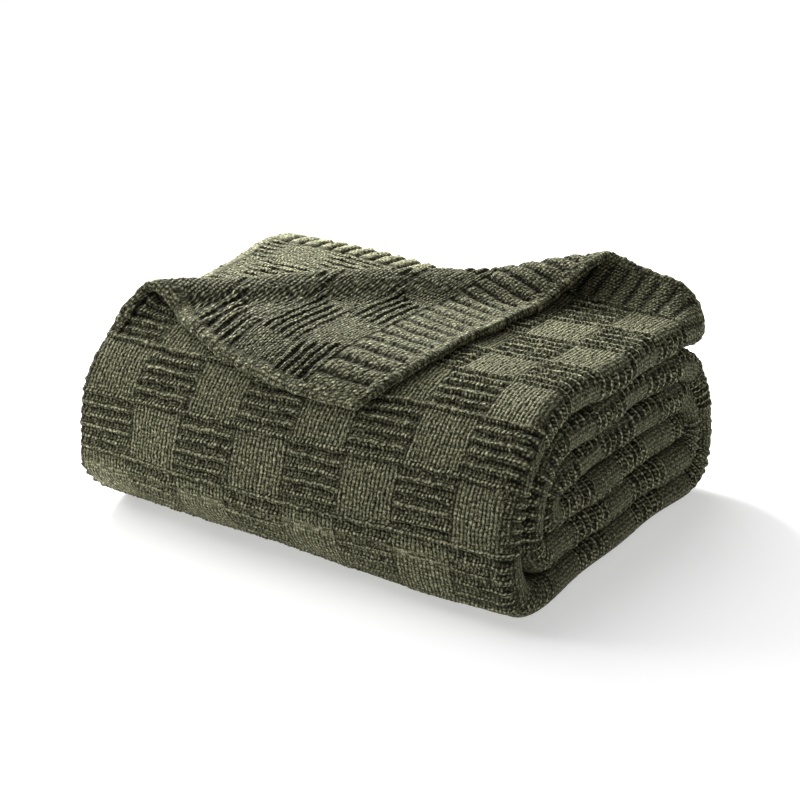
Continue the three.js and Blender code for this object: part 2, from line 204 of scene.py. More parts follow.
# Mesh steps, and counts of columns and points: the right side of the outer ply takes four
# steps to a wale
FINE_X = WALE / 4
FINE_V = 0.72
CORNER_STEP = 0.8
SECOND_STEP = 0.86
BACK_STEP = 1.35
INNER_STEP = 0.95
EDGE_STEP = 0.9
PLIES_STEP = 2.4
HIDDEN_STEP = 2.6
FOLD_POINTS = 28
RIM_STEPS = 6
ROPE_COLUMNS = 150
ROPE_SIDES = 14
UNDERSIDE_COLUMNS = 270
BACK_COLUMNS = 250
HIDDEN_COLUMNS = 5
CORE_COLUMNS = 4

# Where pieces meet, by their length along the outer skin, and by how far they overlap
BROW_START = 128
BROW_END = 222
FOOT_LENGTH = 312
BACK_FOOT_LENGTH = 486
BACK_TOP_LENGTH = 690
SEEN_MARGIN = 14
HIDDEN_MARGIN = 11
CORNER_OVERLAP = 6
SECOND_OVERLAP = 8


def mix(a, b, f):
    """From a to b, f of the way."""
    return a + (b - a) * f


def ease(x, low, high):
    """0 below low, 1 above high, an S curve between."""
    f = np.clip((x - low) / (high - low), 0, 1)
    return f * f * (3 - 2 * f)


def near_line(distance, reach):
    """1 on a line and falling off on both sides of it, as a bell curve."""
    return np.exp(-((distance / reach) ** 2))


def from_lines(x, pitch):
    """Signed distance from the nearest of a set of even lines."""
    return x - pitch * np.round(x / pitch)


# Camera, in pixels of the photograph and millimetres of the sensor
PHOTO_WIDTH = 800
FOCAL_PIXELS = 2235.49
SENSOR_WIDTH = 36


def photo_camera():
    """The camera fitted to the photograph: place, turn, rise, roll and focal length."""
    turn, rise, roll = 0.552423, 0.361371, 0.009406
    eye = np.array([0.708157, -1.154160, 0.580254])
    level = math.cos(rise)
    ahead = np.array([-math.sin(turn) * level, math.cos(turn) * level, -math.sin(rise)])
    across = np.array([math.cos(turn), math.sin(turn), 0])
    above = np.cross(across, ahead)
    right = math.cos(roll) * across + math.sin(roll) * above
    up = -math.sin(roll) * across + math.cos(roll) * above
    data = bpy.data.cameras.new("camera")
    data.sensor_width = SENSOR_WIDTH
    data.lens = FOCAL_PIXELS * SENSOR_WIDTH / PHOTO_WIDTH
    data.clip_end = 100
    camera = bpy.data.objects.new("camera", data)
    bpy.context.collection.objects.link(camera)
    columns = [right, up, -ahead, eye]
    rows = [[float(column[k]) for column in columns] for k in range(3)]
    camera.matrix_world = Matrix(rows + [[0, 0, 0, 1]])
    bpy.context.scene.camera = camera


photo_camera()


# Form of the roll
def slump(y, z):
    """The soft roll spreads at its foot: a shift in Y that grows with height."""
    side = ease(y, FRONT_Y, BACK_Y)
    return y + mix(FRONT_SLUMP, BACK_SLUMP, side) * (z - MID_HEIGHT) / MID_HEIGHT


def level_height(level):
    """Height of the middle of the strip that lies at a level."""
    return HALF + (level - 1) * TURN_PITCH


def flat_run(level, start, end):
    """Points of a level stretch, 2 mm apart at most, without its ends."""
    steps = math.ceil(abs(end - start) / 2)
    y = np.linspace(start, end, steps + 1)[1:-1]
    return y, np.full(len(y), level_height(level))


def back_arc(radius, start, end, top=None):
    """Circular turn at the back, round the middle of level 3, or one whose top is at a
    given height."""
    steps = math.ceil(abs(end - start) * radius / 2)
    angle = np.linspace(start, end, steps + 1)
    middle = level_height(3) if top is None else top - radius
    return BACK_Y + radius * np.sin(angle), middle + radius * np.cos(angle)


def front_arc(levels):
    """Full turn at the front: a superellipse, squarer for the outer turns."""
    rise, reach = levels * TURN_PITCH, levels * FRONT_REACH
    power = 2 / mix(2, FRONT_FULLNESS, min(max(levels - 0.5, 0), 1))
    angle = np.linspace(0, math.pi, math.ceil(math.pi * rise / 2) + 1)
    c, s = np.cos(angle), np.abs(np.sin(angle))
    height = level_height(3.5) + rise * np.sign(c) * np.abs(c) ** power
    return FRONT_Y - reach * s ** power, height


def wound_line():
    """Middle line of the strip from its free end to its core, as arrays of Y, Z, outward
    normal, length along the middle, length along the outer skin, and radius of bend."""
    parts = [
        back_arc(END_RADIUS, END_DROOP, 0, level_height(6)),
        flat_run(6, BACK_Y, FRONT_Y), front_arc(2.5),
        flat_run(1, FRONT_Y, BACK_Y), back_arc(2 * TURN_PITCH, math.pi, 0),
        flat_run(5, BACK_Y, FRONT_Y), front_arc(1.5), flat_run(2, FRONT_Y, BACK_Y),
        back_arc(TURN_PITCH, math.pi, 0), flat_run(4, BACK_Y, FRONT_Y), front_arc(0.5),
        flat_run(3, FRONT_Y, BACK_Y + CORE_OVERRUN),
    ]
    y = np.concatenate([part[0] for part in parts])
    z = np.concatenate([part[1] for part in parts])
    y = np.append(slump(y, z), slump(BACK_Y + CORE_OVERRUN, level_height(3)))
    z = np.append(z, level_height(3))
    # a straight lead past the free end, for the hem that overruns it
    lead = 40
    dy, dz = y[1] - y[0], z[1] - z[0]
    span = math.hypot(dy, dz)
    y, z = np.insert(y, 0, y[0] - lead * dy / span), np.insert(z, 0, z[0] - lead * dz / span)
    ahead = np.append(np.arange(1, len(y)), len(y) - 1)
    behind = np.insert(np.arange(len(y) - 1), 0, 0)
    behind[1] = 1
    dy, dz = y[ahead] - y[behind], z[ahead] - z[behind]
    span = np.hypot(dy, dz)
    ny, nz = dz / span, -dy / span
    middle = np.insert(np.cumsum(np.hypot(np.diff(y), np.diff(z))), 0, 0) - lead
    skin = np.insert(np.cumsum(np.hypot(np.diff(y + HALF * ny), np.diff(z + HALF * nz))), 0, 0)
    skin -= skin[1]
    # the bend is read over three points to each side
    far = np.minimum(np.arange(len(y)) + 3, len(y) - 1)
    near = np.maximum(np.arange(len(y)) - 3, 0)
    turn = np.arcsin(np.clip(ny[near] * nz[far] - nz[near] * ny[far], -1, 1))
    radius = (middle[far] - middle[near]) / np.maximum(np.abs(turn), 1e-6)
    return {"y": y, "z": z, "ny": ny, "nz": nz, "middle": middle, "skin": skin,
            "radius": radius}


LINE = wound_line()
CORE_LENGTH = float(LINE["skin"][-1])


def line_at(length):
    """The wound line at lengths along the outer skin."""
    keys = ("y", "z", "ny", "nz", "middle", "radius")
    found = {key: np.interp(length, LINE["skin"], LINE[key]) for key in keys}
    size = np.hypot(found["ny"], found["nz"])
    found["ny"] = found["ny"] / size
    found["nz"] = found["nz"] / size
    return found


def place(u, at, n):
    """Point at u across the strip and n outward from its middle: X, Y, Z. The fold bulges
    make the right end fuller, the loose edges the back left one, and the foot draws in or
    spreads."""
    u, n = np.broadcast_arrays(u, n)
    inward = np.maximum(n, -BEND_LIMIT * at["radius"])
    y = at["y"] + at["ny"] * inward
    z = at["z"] + at["nz"] * inward
    left_swell = LEFT_SWELL * ease(-u, -90, 130) * ease(y, -60, 160)
    swell = 1 + RIGHT_SWELL * ease(u, -40, 160) + left_swell
    end = ease(y, 110, 192) * ease(z, 85, 105)
    back = BACK_IN * ease(-u, -60, 160) * end
    left = LEFT_IN * ease(-u, 50, 160) * ease(-y, 0, 50) * ease(-z, -95, -45)
    foot = mix(FOOT_IN, -FOOT_OUT, ease(u, -60, 120)) * ease(-y, 0, 40) * ease(-z, -34, -6)
    return np.stack([u + CENTRE_X, y - back + left + foot + CENTRE_Y, z * swell], axis=-1)


def wander(middle):
    """Small wander of the folded ends, so that no two turns line up: two slow waves."""
    return 1.6 * np.sin(middle / 41) + 1.1 * np.sin(middle / 17 + 1)


def right_end(at):
    """Where the right folds end."""
    lean = mix(FOLD_OUT, -FOLD_IN, ease(at["z"], 10, 70))
    return STRIP_WIDTH / 2 + wander(at["middle"]) + lean


# The turned corner
CREST_LENGTH = math.hypot(CREST_RIGHT_X - CREST_LEFT_X, CREST_LEFT_V)
CREST_X = (CREST_RIGHT_X - CREST_LEFT_X) / CREST_LENGTH
CREST_V = CREST_LEFT_V / CREST_LENGTH


def beside_crest(x, v):
    """Share t of the way along the crest, and distance w from it toward the lying side."""
    along, to_hem = x - CREST_LEFT_X, CREST_LEFT_V - v
    return (along * CREST_X + to_hem * CREST_V) / CREST_LENGTH, along * CREST_V - to_hem * CREST_X


def from_crest(t, w):
    """Cloth place of a point beside the crest."""
    length = t * CREST_LENGTH
    x = CREST_LEFT_X + length * CREST_X + w * CREST_V
    return x, CREST_LEFT_V - length * CREST_V + w * CREST_X


def bezier(a, b, c, d, f):
    """Cubic curve with ends a, d and handles b, c."""
    return a * (1 - f) ** 3 + 3 * b * f * (1 - f) ** 2 + 3 * c * f * f * (1 - f) + d * f ** 3


def curl_table():
    """Sections across the curl for places along the crest: three cubic curves from the
    lying side up to the crown and down to the flap, read at even steps of length. A closed
    curl is a round roll that leans back over its lying side, and an open one rises slowly to
    a crown. The curves' handles are shares of its height and of its reach on each side."""
    t = np.linspace(CURL_T[0], CURL_T[-1], CURL_ROWS)[:, None]
    sizes = (CURL_HEIGHT, CURL_LIFT, CURL_LAND, CURL_OPEN)
    height, lift, land, opened = (np.interp(t, CURL_T, size) for size in sizes)
    f = np.linspace(0, 1, CURVE_POINTS)[None, :]
    rest = f[:, 1:]
    top = height - PLY / 2
    side, crown = 0.5 * top, 0.34 * top * (1 - opened)
    low_x, low_z = 0.14 * lift * opened - crown, mix(side, 0.78 * top, opened)
    across = np.hstack([
        bezier(lift, 0.4 * lift - 0.6 * crown + 0.3 * lift * opened,
               0.3 * lift * opened - crown, low_x, f),
        bezier(low_x, 0.07 * lift * opened - crown,
               0.03 * lift * opened - 0.6 * crown, 0 * top, rest),
        bezier(0 * top, 0.4 * land, 0.62 * land, land, rest),
    ])
    up = np.hstack([
        bezier(0 * top, 0 * top, side - mix(0.3, 0.1, opened) * top, low_z, f),
        bezier(low_z, top * mix(0.86, 0.9, opened), top, top, rest),
        bezier(top, top, FLAP_REST + 0 * top, FLAP_REST + 0 * top, rest),
    ])
    steps = np.hypot(np.diff(across), np.diff(up))
    lengths = np.hstack([np.zeros_like(t), np.cumsum(steps, axis=1)])
    total = lengths[:, -1]
    even = np.linspace(0, 1, CURL_COLUMNS)
    across, up = (
        np.array([np.interp(even * n, row, a) for n, row, a in zip(total, lengths, curve)])
        for curve in (across, up)
    )
    return across, up, total, lift[:, 0], land[:, 0]


CURL_ACROSS, CURL_UP, CURL_TOTAL, CURL_LIFTS, CURL_LANDS = curl_table()


def curl_place(t):
    """Row of the curl table for places along the crest, and the share to the next row."""
    last = CURL_ROWS - 1
    row = np.clip((t - CURL_T[0]) / (CURL_T[-1] - CURL_T[0]) * last, 0, last - 0.001)
    low = row.astype(int)
    return low, row - low


def curl_sizes(t):
    """Reach of the curl's lying side, its length and its reach on the flap's side."""
    low, f = curl_place(t)
    return tuple(mix(row[low], row[low + 1], f) for row in (CURL_LIFTS, CURL_TOTAL, CURL_LANDS))


def turned_from(t):
    """Distance from the crest, on the far side of it, where the cloth lies turned over."""
    lift, total, _ = curl_sizes(t)
    return lift - total


def turn_back(t, w):
    """Where the flat ply goes once the corner is turned: new distance and height."""
    low, f = curl_place(t)
    lift, total, land = curl_sizes(t)
    travel = lift - w
    step = np.clip(travel / total, 0, 1) * (CURL_COLUMNS - 1)
    col = np.minimum(step.astype(int), CURL_COLUMNS - 2)
    g = step - col

    def read(table):
        here = mix(table[low, col], table[low, col + 1], g)
        return mix(here, mix(table[low + 1, col], table[low + 1, col + 1], g), f)

    across, up = read(CURL_ACROSS), read(CURL_UP)
    across = np.where(travel <= 0, w, across)
    across = np.where(travel >= total, land + FLAP_STRETCH * (travel - total), across)
    return across, np.where(travel <= 0, 0, up)


FOLD_X = STRIP_WIDTH / 2 - HALF
FOLD_END = FOLD_X + math.pi * HALF


def outer_ply(x, v):
    """Middle of the outer ply in space: flat to the right fold, then round it, with the
    corner turned back over the crest. x and v are places in the flat cloth."""
    flat = np.minimum(x, FOLD_X)
    angle = np.clip((x - FOLD_X) / HALF, 0, math.pi)
    # the edges bulge only where the cloth lies turned over
    t, w = beside_crest(flat, v)
    over = ease(turned_from(t) - w, 0, TURNED_REACH)
    side = np.interp(v, SIDE_V, SIDE_BULGE) * (1 - ease(flat + STRIP_WIDTH / 2, 0, BULGE_REACH))
    hem = np.interp(flat, HEM_X, HEM_BULGE) * (1 - ease(v + HEM_OVERRUN, 0, BULGE_REACH))
    t, w = beside_crest(flat - side * over, v - hem * over)
    turned, up = turn_back(t, w)
    lands_x, lands_v = from_crest(t, turned)
    near_fold = ease(x, *FOLD_HOLDS)
    lands_x = mix(lands_x, flat, near_fold)
    level_v = v + HEM_OVERRUN * ease(x, *HEM_LEVELS) * (1 - ease(v, -HEM_OVERRUN, 60))
    lands_v = mix(lands_v, level_v, near_fold)
    at = line_at(lands_v)
    rise = up * (1 - ease(mix(lands_x, x, near_fold), *RISE_ENDS) ** 2)
    shift = (right_end(at) - STRIP_WIDTH / 2) * ease(x, 60, FOLD_X)
    u = lands_x + shift + PLY_MIDDLE * np.sin(angle)
    n = PLY_MIDDLE * np.cos(angle)
    # over the level top the curl rises straight up, and over the brow square to the roll
    upright = (1 - ease(lands_v, 0, 70))[..., None]
    lying = place(u, at, n)
    standing = lying + np.stack([0 * rise, 0 * rise, rise], axis=-1)
    along = v + (flat - CREST_LEFT_X) * CREST_LEFT_V / (CREST_RIGHT_X - CREST_LEFT_X)
    arch = [np.interp(along, ARCH_V, row) for row in (ARCH_IN, ARCH_BACK, ARCH_UP)]
    arch = np.stack(arch, axis=-1) * near_line(flat - CREST_LEFT_X, ARCH_REACH)[..., None]
    return mix(place(u, at, n + rise), standing, upright) + arch


# The knit
def hashed(phase):
    """A value from -1 to 1 that looks random: what a large multiple of a sine has past its
    whole part, doubled and less one."""
    s = np.sin(phase) * 43758.5453
    return 2 * (s - np.floor(s)) - 1


def value_noise(x, v, size, seed):
    """Smooth noise from -1 to 1: hashed values on a lattice of the given cell, eased between."""
    gx, gv = x / size, v / size
    ix, iv = np.floor(gx), np.floor(gv)
    fx, fv = ease(gx - ix, 0, 1), ease(gv - iv, 0, 1)

    def corner(i, j):
        return hashed(i * 127.1 + j * 311.7 + seed * 74.7)

    low = mix(corner(ix, iv), corner(ix + 1, iv), fx)
    high = mix(corner(ix, iv + 1), corner(ix + 1, iv + 1), fx)
    return mix(low, high, fv)


def layered_noise(x, v, layers):
    """Sum of layers of noise, each given by its height, the size of its cell and its seed."""
    return sum(height * value_noise(x, v, size, seed) for height, size, seed in layers)


def hand_drift(x, v):
    """Uneven tension of the knit: shifts of the pattern across and along the cloth, slow
    ones over many stitches and quick ones over two or three."""
    return x + layered_noise(x, v, DRIFT_ACROSS), v + layered_noise(x, v, DRIFT_ALONG)


def per_stitch(x, v, seed):
    """One hashed value from -1 to 1 for each stitch."""
    return hashed(np.floor(x / WALE + 0.5) * 91.7 + np.floor(v / COURSE) * 47.3 + seed)


def ridged_blocks(x, v):
    """1 in ridged blocks, 0 in plain ones, soft at their sides."""
    column = np.sin(math.pi * (x + STRIP_WIDTH / 2) / BLOCK_X)
    row = np.sin(math.pi * (v - BORDER) / BLOCK_V)
    return 0.5 + 0.5 * np.tanh(9 * column) * np.tanh(9 * row)


def plain_stitches(x, v):
    """Plain side, from 0 to 1: every wale a rope of V stitches, whose legs slant away from
    its middle. Between the wales it falls to a pit at every stitch."""
    across = 2 * np.abs(x / WALE - np.round(x / WALE))
    legs = 0.5 + 0.5 * np.cos(2 * math.pi * (v / COURSE + 0.7 * across))
    return (1 - across ** 3 * (0.4 + 0.6 * legs)) * (0.8 + 0.2 * legs)


def purl_stitches(x, v):
    """Wrong side, from 0 to 1: a row of slanted bumps to each course, one to a wale, each
    row half a wale on from the last."""
    row = v / COURSE - np.floor(v / COURSE)
    slant = 0.5 * np.mod(np.floor(v / COURSE), 2) + 0.35 * (row - 0.5)
    lump = 0.78 + 0.22 * np.cos(2 * math.pi * (x / WALE + slant))
    return np.sqrt(np.sin(math.pi * row)) * lump


def knit(relief, shade, purl, x, v):
    """What a place in the knit has, as one array: relief in millimetres, shade from 0 deep
    in a groove to 1 on a crest, which is painted shade in the grooves and painted light on the
    crests, 1 for purl stitches and 0 for plain ones, and its place in the pattern."""
    return np.stack(np.broadcast_arrays(relief, shade, purl, x, v), axis=-1)


def roll_lumps(x, v):
    """Lumps of the yarn on a rolled hem or selvedge, about as large as a stitch."""
    return value_noise(x, v, 2.6, 11)


def with_borders(cloth, x, v, from_border, rib_depth):
    """Put the ribbed end border, the side border and the thick hem round the blocks. A rib
    is a rope of purl bumps between two grooves, and the other two are lumpy rolls."""
    from_rib = x + STRIP_WIDTH / 2 - RIB_START
    groove = near_line(from_lines(from_rib, RIB), RIB_GROOVE)
    groove = groove * (1 + 0.35 * value_noise(x, v, 14, 7))
    rope = np.cos(math.pi * from_lines(from_rib - RIB / 2, RIB) / RIB)
    bumps = purl_stitches(x, v) - PURL_MEAN
    deep = rib_depth * (rope - 1.5 * groove - 0.3)
    # painted shade in the grooves between the ribs, and a little painted light on their ropes
    shade = RIB_SHADE + rib_depth * (0.1 * rope - 0.36 * groove)
    ribs = knit(deep + 0.7 * bumps, shade, RIB_PURL, x, v)
    cloth = mix(ribs, cloth, ease(from_border, -2, 1.5)[..., None])
    lumps = roll_lumps(x, v)
    rolled = knit(0.5 + 0.45 * lumps, ROLLED_SHADE + 0.12 * lumps, ROLLED_PURL, x, v)
    selvedge, hem = SELVEDGE_WIDTH - STRIP_WIDTH / 2, HEM_WIDTH - HEM_OVERRUN
    side = 1 - ease(x, selvedge - 2, selvedge + 1)
    side = side * (1 - ease(v, *SELVEDGE_ENDS))
    end = 1 - ease(v, hem - 1.5, hem + 1.5)
    return mix(cloth, rolled, np.maximum(side, end)[..., None])


def pile(x, v):
    """Chenille tufts: fine lumps on top of the stitches."""
    return layered_noise(x, v, PILE_LUMPS)


def knit_face(x, v):
    """Right side: lumpy beaded ridges on a ridged block, each with a painted shadow just below
    it, and two courses of plain stitches between, plain stitches on the others, and one ridge
    along every row of blocks. On a fold the ridges of a ridged block are smooth cords, set
    deeper apart, with painted shade between them and a thin painted highlight along each. A
    groove with painted shade in it sets off the selvedge where it stands up in the arch."""
    x2, v2 = hand_drift(x, v)
    wavy = v2 - BORDER + 0.6 * value_noise(x, v, 5, 8)
    off = from_lines(wavy, RIDGE)
    row = from_lines(wavy, BLOCK_V)
    ridged = ridged_blocks(x2, v2)
    fold = ease(x, FOLD_X - 3, FOLD_X + 5)
    on_fold = 0.8 * ridged * fold
    # the ridges, and the one along a row of blocks
    crest = ridged * (1 - ease(np.abs(off), RIDGE_TOP, RIDGE_FOOT + FOLD_GAIN * fold))
    crest = np.maximum(crest, 0.95 * (1 - ease(np.abs(row), ROW_TOP, ROW_FOOT)))
    # the grooves next to them, deeper below a ridge than above it, and between two blocks; in
    # them painted shadow, darkest just below a ridge
    grooves = near_line(off - GROOVE_BELOW, 0.7) + 0.3 * near_line(off + GROOVE_ABOVE, 0.6)
    beside = ridged * grooves
    beside = beside + 0.6 * (1 - ridged) * near_line(row - ROW_GROOVE, 0.8)
    beside = beside * (1 + 0.5 * value_noise(x, v, 5, 15))
    column = np.abs(np.sin(math.pi * (x2 + STRIP_WIDTH / 2) / BLOCK_X))
    seam = (1 - ridged) * (1 - ease(column, 0, 0.14))
    # a bead to a wale on every ridge, each with a height of its own, and slower lumps
    bead = np.cos(2 * math.pi * (x2 / WALE + 0.12 * off))
    bead = bead + 0.7 * per_stitch(x2, v2 - COURSE / 2, 1)
    bead = bead * (1 - 0.9 * on_fold)
    lumps = value_noise(x, v, 2.4, 14)
    stitches = (plain_stitches(x2, v2) - PLAIN_MEAN) * (1 - 0.8 * fold)
    relief = mix(PLAIN_HEIGHT + stitches, VALLEY_HEIGHT + 0.8 * stitches - on_fold, ridged)
    relief = relief - GROOVE_DEPTH * beside - GROOVE_DEPTH * seam
    relief = mix(relief, RIDGE_HEIGHT + 0.35 * bead + 0.4 * lumps + 0.3 * on_fold, crest)
    # painted shade in the grooves, between two plain blocks and in the valleys on a fold, and
    # painted light on the crests
    shade = mix(KNIT_SHADE, KNIT_SHADE - 0.09 * on_fold, ridged) - 0.32 * beside - 0.24 * seam
    shade = mix(shade, RIDGE_SHADE + 0.08 * bead + 0.05 * lumps, crest)
    # a thin painted highlight along the middle of each cord on a fold
    shade = shade + 0.05 * on_fold * near_line(off, 0.8)
    purl = np.maximum(crest, np.maximum(on_fold, 0.4 * fold))
    cloth = with_borders(knit(relief, shade, purl, x2, v2), x2, v2, v2 - BORDER, FACE_RIBS)
    # a groove with painted shade in it, inside the selvedge where it stands up in the arch
    inside = near_line(x2 + STRIP_WIDTH / 2 - SELVEDGE_WIDTH - 1.5, 1.3)
    inside = inside * ease(v, *ARCH_LINE_STARTS) * (1 - ease(v, *ARCH_LINE_ENDS))
    cloth[..., 0] += pile(x, v) - ARCH_GROOVE_DEPTH * inside
    cloth[..., 1] -= 0.35 * inside
    return cloth


def knit_back(x, v, shift_x, shift_v, rib_depth, painted_light):
    """Wrong side: lumpy welts of two purl courses with deep grooves, in which a hole shows
    at each wale, painted shade lying in the grooves and holes, and plain rows of purl bumps.
    The shifts move the blocks in the cloth, and the last two arguments say how deep its
    border ribs are and how much painted light is laid over it."""
    x2, v2 = hand_drift(x, v)
    bx, bv = x2 + shift_x, v2 + shift_v
    wavy = bv - BORDER + 0.6 * value_noise(x, v, 7, 8)
    groove = near_line(from_lines(wavy, RIDGE), WELT_GROOVE)
    ridged = ridged_blocks(bx, bv)
    bumps = purl_stitches(bx, bv) - PURL_MEAN
    hole = 0.5 + 0.5 * np.cos(2 * math.pi * bx / WALE)
    lumps = value_noise(x, v, 3.6, 9)
    high, deep = WELT_HEIGHT + 0.9 * bumps + 0.55 * lumps, HOLE_HEIGHT - 0.5 * hole + 0.3 * lumps
    welts = knit(high, WELT_SHADE + 0.1 * lumps, 1, bx, bv)
    # painted shade in the grooves between the welts, darkest at the holes
    holes = knit(deep, HOLE_SHADE - 0.16 * hole, 1, bx, bv)
    rows = knit(PURL_HEIGHT + 0.9 * bumps, PURL_SHADE, 1, bx, bv)
    cloth = mix(rows, mix(welts, holes, groove[..., None]), ridged[..., None])
    cloth = with_borders(cloth, x2, v2, bv - BORDER, rib_depth)
    cloth[..., 0] += pile(x, v)
    # painted light over the whole sheet
    cloth[..., 1] += painted_light
    return cloth


# Meshes
def grid_normals(points):
    """Unit normals of a grid of points, on the side of rows crossed with columns."""
    along = np.gradient(points, axis=0)
    across = np.gradient(points, axis=1)
    normal = np.cross(along, across)
    return normal / np.maximum(np.linalg.norm(normal, axis=-1, keepdims=True), 1e-9)


def grid_mesh(name, points, cloth, keep=None, wrap=False, flip=False):
    """A piece from a grid of points in millimetres. cloth is the knit at each point; keep
    says which faces stay; wrap joins the last column to the first; flip turns the faces
    round."""
    rows, columns = points.shape[:2]
    index = np.arange(rows * columns).reshape(rows, columns)
    right = np.roll(index, -1, axis=1) if wrap else index[:, 1:]
    left = index if wrap else index[:, :-1]
    quads = np.stack([left[:-1], left[1:], right[1:], right[:-1]], axis=-1)
    if flip:
        quads = quads[..., ::-1]
    quads = quads[keep] if keep is not None else quads.reshape(-1, 4)
    used, quads = np.unique(quads, return_inverse=True)
    quads = quads.reshape(-1, 4)
    flat = points.reshape(-1, 3)[used] * MM
    flat[:, 2] = np.maximum(flat[:, 2], 0)
    mesh = bpy.data.meshes.new(name)
    mesh.vertices.add(len(flat))
    mesh.vertices.foreach_set("co", flat.ravel())
    mesh.loops.add(quads.size)
    mesh.loops.foreach_set("vertex_index", quads.ravel())
    mesh.polygons.add(len(quads))
    mesh.polygons.foreach_set("loop_start", np.arange(0, quads.size, 4))
    mesh.polygons.foreach_set("use_smooth", np.ones(len(quads), bool))
    cloth = cloth.reshape(-1, 5)[used]
    layer = mesh.uv_layers.new(name="cloth")
    layer.data.foreach_set("uv", (cloth[quads.ravel(), 3:] * MM).ravel())
    for column, attribute in ((1, "shade"), (2, "purl")):
        values = mesh.attributes.new(attribute, "FLOAT", "POINT")
        values.data.foreach_set("value", np.ascontiguousarray(cloth[:, column]))
    mesh.update(calc_edges=True)
    mesh.validate()
    piece = bpy.data.objects.new(name, mesh)
    bpy.context.collection.objects.link(piece)
    return piece


def raised(middle, relief):
    """A sheet's outer face: its middle moved out by half its thickness and the relief."""
    return middle + grid_normals(middle) * (PLY / 2 + relief)[..., None]


def rimmed(middle, side, top, under):
    """One face of a sheet with a round rim along its left side and its hem. side is 1 for
    the face that the grid's normals point from and -1 for the other. top and under are the
    knit of the two faces. Returns the points and the knit of a grid with RIM_STEPS more
    columns and rows."""
    normal = grid_normals(middle) * side
    to_side = middle[:, 0] - middle[:, 1]
    to_side /= np.linalg.norm(to_side, axis=-1, keepdims=True)
    to_hem = middle[0] - middle[1]
    to_hem /= np.linalg.norm(to_hem, axis=-1, keepdims=True)
    rim = np.linspace(math.pi, 0, RIM_STEPS, endpoint=False)
    rows, columns = middle.shape[:2]
    row = np.concatenate([np.zeros(RIM_STEPS, int), np.arange(rows)])
    column = np.concatenate([np.zeros(RIM_STEPS, int), np.arange(columns)])
    row_angle = np.concatenate([rim, np.zeros(rows)])[:, None]
    column_angle = np.concatenate([rim, np.zeros(columns)])[None, :]
    angle = np.maximum(row_angle, column_angle)[..., None]
    out = to_side[row][:, None] * np.sin(column_angle)[..., None]
    out = out + to_hem[column][None] * np.sin(row_angle)[..., None]
    out /= np.maximum(np.linalg.norm(out, axis=-1, keepdims=True), 1e-9)
    cloth = mix(top[np.ix_(row, column)], under[np.ix_(row, column)], angle / math.pi)
    cloth[..., 3] -= PLY / 2 * column_angle
    cloth[..., 4] -= PLY / 2 * row_angle
    offset = normal[np.ix_(row, column)] * np.cos(angle) + out * np.sin(angle)
    points = middle[np.ix_(row, column)] + offset * (PLY / 2 + cloth[..., :1])
    return points, cloth


pieces = []


def keep_piece(piece):
    """Ride on the root, hide the part that it replaces, and join the list of pieces."""
    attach(piece, "root")
    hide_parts("knit_throw")
    pieces.append(piece)
    return piece


def cloth_grid(x_from, x_to, v_from, v_to, x_step, v_step):
    """Even places across and along the cloth, and both on a grid."""
    x = np.linspace(x_from, x_to, round((x_to - x_from) / x_step) + 1)
    v = np.linspace(v_from, v_to, round((v_to - v_from) / v_step) + 1)
    return x, v, *np.meshgrid(x, v)


def under_corner(x, v, margin):
    """Where the outer ply's right side is out of sight: on the corner that lies turned
    over, and below it, by a margin in from the corner's edges."""
    t, w = beside_crest(x, v)
    lift, total, land = curl_sizes(t)

    def well_in(x, v):
        return (x > margin - STRIP_WIDTH / 2) & (v > margin - HEM_OVERRUN)

    below = (w > land) & well_in(*from_crest(t, lift - total - (w - land) / FLAP_STRETCH))
    turned = (w < lift - total - margin / 2) & well_in(x, v)
    return below | turned


def past_curl(x, v, overlap):
    """Where the outer ply has left the roll or is about to, within an overlap."""
    t, w = beside_crest(x, v)
    lift, _, _ = curl_sizes(t)
    return w < lift + overlap


def faces_where(mask):
    """Faces of a grid whose first corner is marked."""
    return mask[:-1, :-1]


def with_rim(mask, points):
    """Faces to keep of a rimmed grid: those marked, and the whole rim."""
    near = faces_where(mask)
    keep = np.ones((points.shape[0] - 1, points.shape[1] - 1), bool)
    keep[-near.shape[0]:, -near.shape[1]:] = near
    return keep


